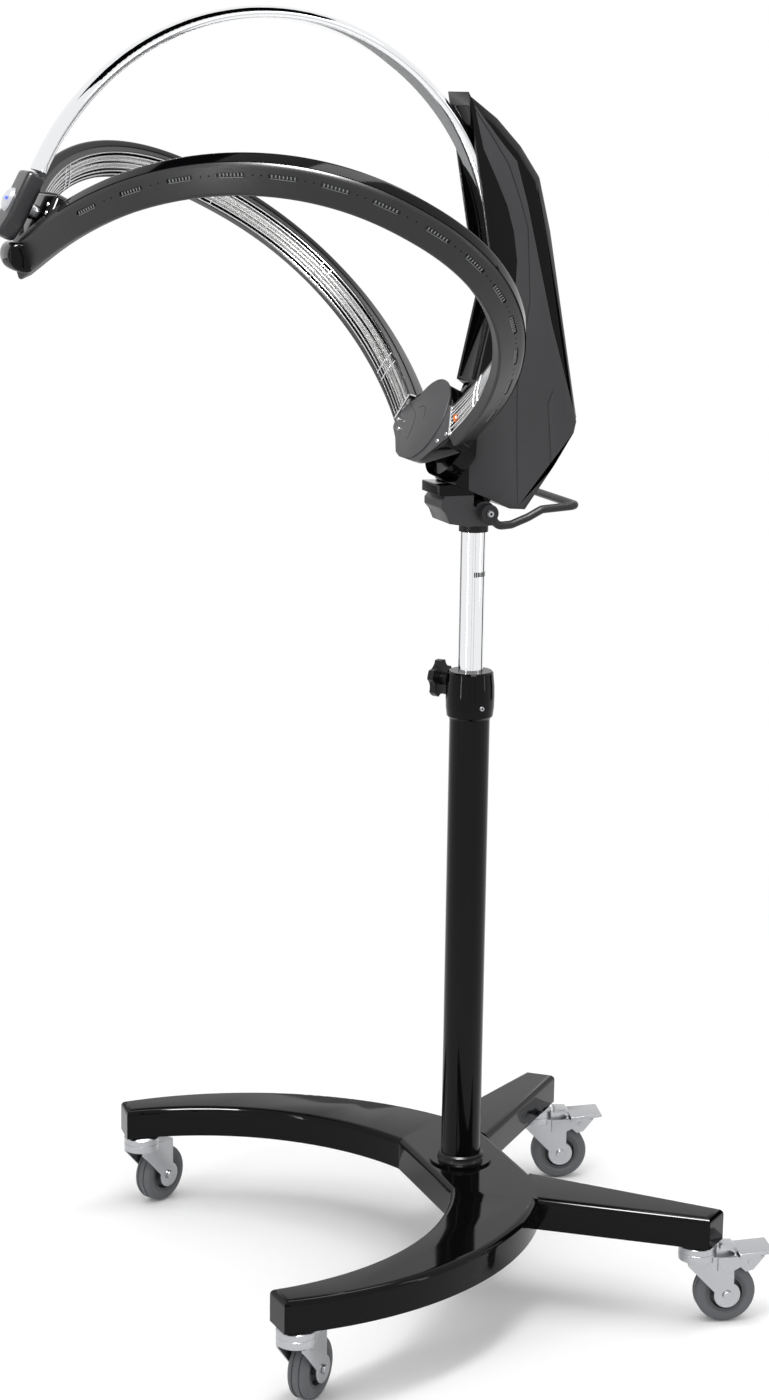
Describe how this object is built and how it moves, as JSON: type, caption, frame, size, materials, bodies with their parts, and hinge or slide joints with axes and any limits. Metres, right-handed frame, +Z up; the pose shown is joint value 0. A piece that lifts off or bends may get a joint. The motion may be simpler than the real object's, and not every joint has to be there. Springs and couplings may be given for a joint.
{
  "type": "hair color processor",
  "caption": "Free-standing salon hair colour processor: heater ring turning under a curved arch on a tilting housing, height-adjustable mast and four-leg caster base.",
  "frame": {"origin": "on the floor under the middle of the whole object", "axes": "+Z up, -Y towards the client (the open front of the ring and the arch), +X to the right seen from the client"},
  "size_m": [0.7204, 0.8931, 1.5672],
  "materials": {
    "gloss_black_moulding": "high gloss moulded black",
    "zinc_steel": "zinc plated pressed steel",
    "grey_nylon": "moulded grey nylon",
    "grey_tyre": "grey rubber tread",
    "black_column_paint": "gloss black powder coat on steel tube",
    "satin_black_plastic": "satin moulded black",
    "chrome": "polished chrome plate",
    "steel": "turned steel",
    "black_casting": "black painted casting",
    "black_rod": "satin black coated steel rod",
    "matte_grey_panel": "fine grained matte dark grey",
    "lens": "silver frosted lens",
    "grey_hub_plastic": "satin dark grey moulding",
    "arm_matte_black": "matte heat proof moulding",
    "quartz": "quartz heater tube",
    "guard_steel": "chromed wire",
    "orange_sensor": "orange sensor cap"
  },
  "bodies": {
    "base": {"base_hub": "gloss_black_moulding", "caster_heads": "zinc_steel", "clamp_collar": "satin_black_plastic", "column_foot_ring": "satin_black_plastic", "column_tube": "black_column_paint", "front_leg_left": "gloss_black_moulding", "front_leg_right": "gloss_black_moulding", "guide_bush": "satin_black_plastic", "rear_leg_left": "gloss_black_moulding", "rear_leg_right": "gloss_black_moulding"},
    "clamp_knob": {"clamp_knob": "satin_black_plastic"},
    "mast": {"inner_tube": "chrome"},
    "head_joint": {"swivel_sleeve": "chrome", "head_block": "black_casting", "tilt_shaft": "steel"},
    "handle": {"handle_lever": "black_rod"},
    "housing": {"housing_core": "gloss_black_moulding", "side_panel_left": "matte_grey_panel", "side_panel_right": "matte_grey_panel", "rear_cover": "gloss_black_moulding", "bearing_cup": "gloss_black_moulding", "arch": "chrome", "arch_end_block": "gloss_black_moulding", "indicator_lens": "lens", "front_pivot_pin": "steel"},
    "heater_ring": {"arm_band_left": "gloss_black_moulding", "arm_band_right": "gloss_black_moulding", "arm_shell_left": "arm_matte_black", "arm_shell_right": "arm_matte_black", "drive_shaft": "steel", "front_hub": "gloss_black_moulding", "heater_tube_left": "quartz", "heater_tube_right": "quartz", "rear_hub": "grey_hub_plastic", "rear_hub_plate": "grey_hub_plastic", "reflector_left": "chrome", "reflector_right": "chrome", "temperature_sensor": "orange_sensor", "wire_guard_left": "guard_steel", "wire_guard_right": "guard_steel"},
    "fork_front_left": {"caster_fork_front_left": "zinc_steel", "axle_bolt_front_left": "zinc_steel"},
    "wheel_front_left": {"wheel_rim_front_left": "grey_nylon", "wheel_tyre_front_left": "grey_tyre"},
    "fork_front_right": {"caster_fork_front_right": "zinc_steel", "axle_bolt_front_right": "zinc_steel"},
    "wheel_front_right": {"wheel_rim_front_right": "grey_nylon", "wheel_tyre_front_right": "grey_tyre"},
    "fork_rear_left": {"caster_fork_rear_left": "zinc_steel", "axle_bolt_rear_left": "zinc_steel", "brake_bracket_rear_left": "zinc_steel"},
    "wheel_rear_left": {"wheel_rim_rear_left": "grey_nylon", "wheel_tyre_rear_left": "grey_tyre"},
    "pedal_rear_left": {"brake_pedal_rear_left": "zinc_steel"},
    "fork_rear_right": {"caster_fork_rear_right": "zinc_steel", "axle_bolt_rear_right": "zinc_steel", "brake_bracket_rear_right": "zinc_steel"},
    "wheel_rear_right": {"wheel_rim_rear_right": "grey_nylon", "wheel_tyre_rear_right": "grey_tyre"},
    "pedal_rear_right": {"brake_pedal_rear_right": "zinc_steel"}
  },
  "joints": [
    {"name": "caster_swivel_front_left", "type": "hinge", "parent": "base", "child": "fork_front_left", "pos_m": [-0.32, -0.191, 0.085], "axis": [0, 0, 1], "continuous": true},
    {"name": "wheel_spin_front_left", "type": "hinge", "parent": "fork_front_left", "child": "wheel_front_left", "pos_m": [-0.33829, -0.16116, 0.0375], "axis": [-0.8526, -0.5225, 0], "continuous": true},
    {"name": "caster_swivel_front_right", "type": "hinge", "parent": "base", "child": "fork_front_right", "pos_m": [0.32, -0.191, 0.085], "axis": [0, 0, 1], "continuous": true},
    {"name": "wheel_spin_front_right", "type": "hinge", "parent": "fork_front_right", "child": "wheel_front_right", "pos_m": [0.296, -0.16553, 0.0375], "axis": [-0.7278, -0.6858, 0], "continuous": true},
    {"name": "caster_swivel_rear_left", "type": "hinge", "parent": "base", "child": "fork_rear_left", "pos_m": [-0.25, 0.352, 0.085], "axis": [0, 0, 1], "continuous": true},
    {"name": "wheel_spin_rear_left", "type": "hinge", "parent": "fork_rear_left", "child": "wheel_rear_left", "pos_m": [-0.24171, 0.386, 0.0375], "axis": [-0.9715, 0.2368, 0], "continuous": true},
    {"name": "brake_pedal_rear_left", "type": "hinge", "parent": "fork_rear_left", "child": "pedal_rear_left", "pos_m": [-0.23555, 0.41126, 0.082], "axis": [-0.9715, 0.2368, 0], "range_deg": [0, 10]},
    {"name": "caster_swivel_rear_right", "type": "hinge", "parent": "base", "child": "fork_rear_right", "pos_m": [0.25, 0.352, 0.085], "axis": [0, 0, 1], "continuous": true},
    {"name": "wheel_spin_rear_right", "type": "hinge", "parent": "fork_rear_right", "child": "wheel_rear_right", "pos_m": [0.25746, 0.3862, 0.0375], "axis": [-0.977, 0.213, 0], "continuous": true},
    {"name": "brake_pedal_rear_right", "type": "hinge", "parent": "fork_rear_right", "child": "pedal_rear_right", "pos_m": [0.26299, 0.4116, 0.082], "axis": [-0.977, 0.213, 0], "range_deg": [0, 10]},
    {"name": "mast_slide", "type": "slide", "parent": "base", "child": "mast", "axis": [0, 0, 1], "range_m": [-0.155, 0.15]},
    {"name": "clamp_knob_turn", "type": "hinge", "parent": "base", "child": "clamp_knob", "pos_m": [-0.03599, 0.11198, 0.764], "axis": [-0.7997, -0.6004, 0], "range_deg": [0, 180]},
    {"name": "head_swivel", "type": "hinge", "parent": "mast", "child": "head_joint", "pos_m": [0, 0.139, 0.962], "axis": [0, 0, 1], "range_deg": [-170, 170]},
    {"name": "head_tilt", "type": "hinge", "parent": "head_joint", "child": "housing", "pos_m": [0, 0.142, 0.979], "axis": [-1, 0, 0], "range_deg": [0, 20]},
    {"name": "handle_turn", "type": "hinge", "parent": "head_joint", "child": "handle", "pos_m": [0.04, 0.142, 0.979], "axis": [1, 0, 0], "range_deg": [-18, 3]},
    {"name": "ring_turn", "type": "hinge", "parent": "housing", "child": "heater_ring", "pos_m": [0, 0.072, 1.091], "axis": [0, -0.8894, 0.4571], "range_deg": [-40, 40]}
  ]
}
